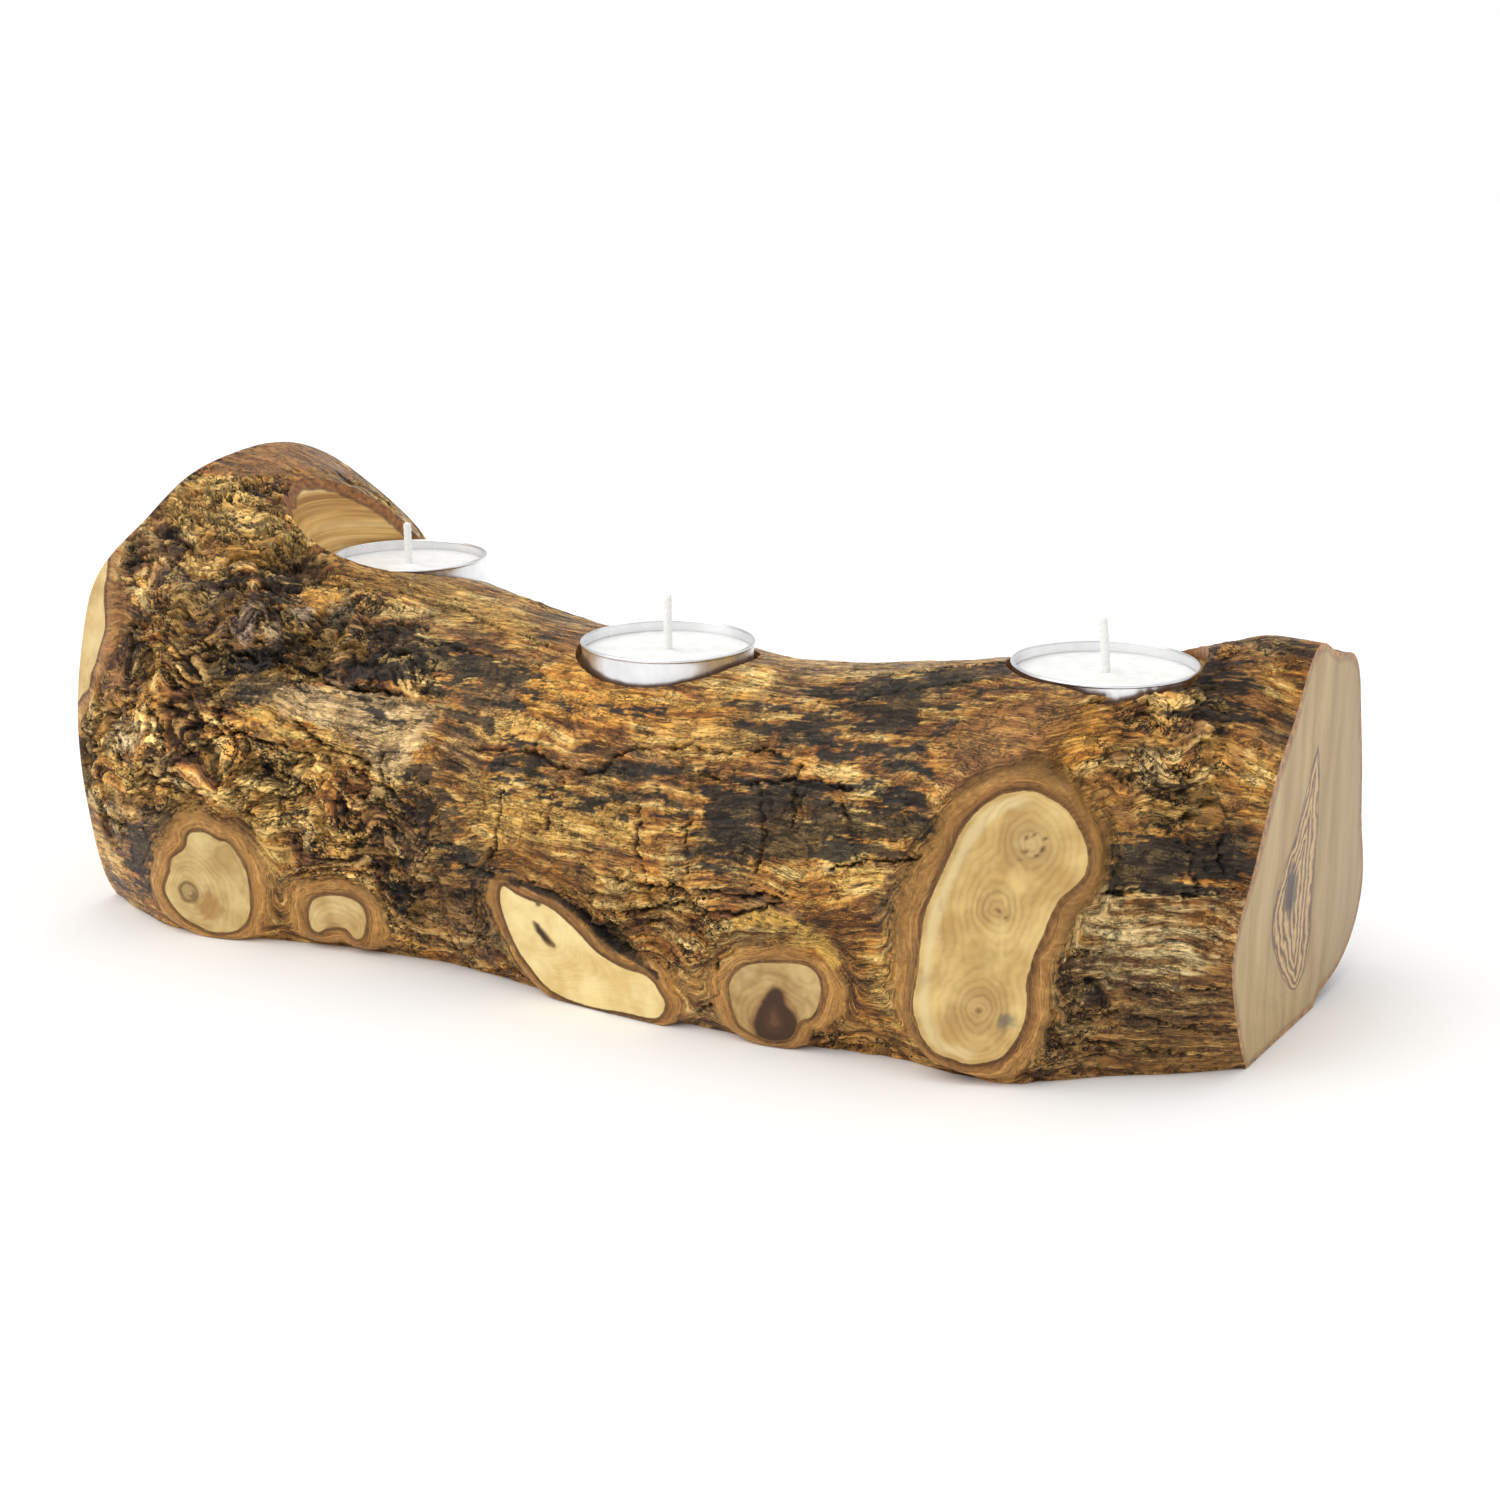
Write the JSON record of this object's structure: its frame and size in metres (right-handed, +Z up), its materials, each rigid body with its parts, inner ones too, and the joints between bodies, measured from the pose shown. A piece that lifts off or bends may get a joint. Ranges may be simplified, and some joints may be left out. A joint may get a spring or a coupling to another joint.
{
  "type": "tealight holder",
  "caption": "Rustic tealight holder made from a short knotty log with a flat base, sawn ends and drilled recesses that hold loose tealights in metal cups.",
  "frame": {"origin": "middle of the footprint's bounding box, on the flat base", "axes": "+Z up; +X along the log towards the end with the large upright sawn branch beside it; -Y towards the side with the sawn branches"},
  "size_m": [0.27, 0.1394, 0.1043],
  "materials": {
    "log_wood": "oiled bark and bare sawn wood, semi-gloss",
    "cup_aluminium": "bright drawn sheet",
    "candle_wax": "smooth white paraffin wax",
    "wick_cotton": "waxed braided cotton",
    "tab_steel": "tinned sheet steel"
  },
  "bodies": {
    "log": {"log_body": "log_wood"},
    "left_tealight_cup": {"left_cup": "cup_aluminium"},
    "left_candle": {"left_wax": "candle_wax", "left_wick": "wick_cotton", "left_wick_tab": "tab_steel"},
    "centre_tealight_cup": {"centre_cup": "cup_aluminium"},
    "centre_candle": {"centre_wax": "candle_wax", "centre_wick": "wick_cotton", "centre_wick_tab": "tab_steel"},
    "right_tealight_cup": {"right_cup": "cup_aluminium"},
    "right_candle": {"right_wax": "candle_wax", "right_wick": "wick_cotton", "right_wick_tab": "tab_steel"}
  },
  "joints": [
    {"name": "left_tealight_lift", "type": "slide", "parent": "log", "child": "left_tealight_cup", "axis": [0, 0, 1], "range_m": [0, 0.05]},
    {"name": "left_candle_lift", "type": "slide", "parent": "left_tealight_cup", "child": "left_candle", "axis": [0, 0, 1], "range_m": [0, 0.025]},
    {"name": "centre_tealight_lift", "type": "slide", "parent": "log", "child": "centre_tealight_cup", "axis": [0, 0, 1], "range_m": [0, 0.05]},
    {"name": "centre_candle_lift", "type": "slide", "parent": "centre_tealight_cup", "child": "centre_candle", "axis": [0, 0, 1], "range_m": [0, 0.025]},
    {"name": "right_tealight_lift", "type": "slide", "parent": "log", "child": "right_tealight_cup", "axis": [0, 0, 1], "range_m": [0, 0.05]},
    {"name": "right_candle_lift", "type": "slide", "parent": "right_tealight_cup", "child": "right_candle", "axis": [0, 0, 1], "range_m": [0, 0.025]}
  ]
}
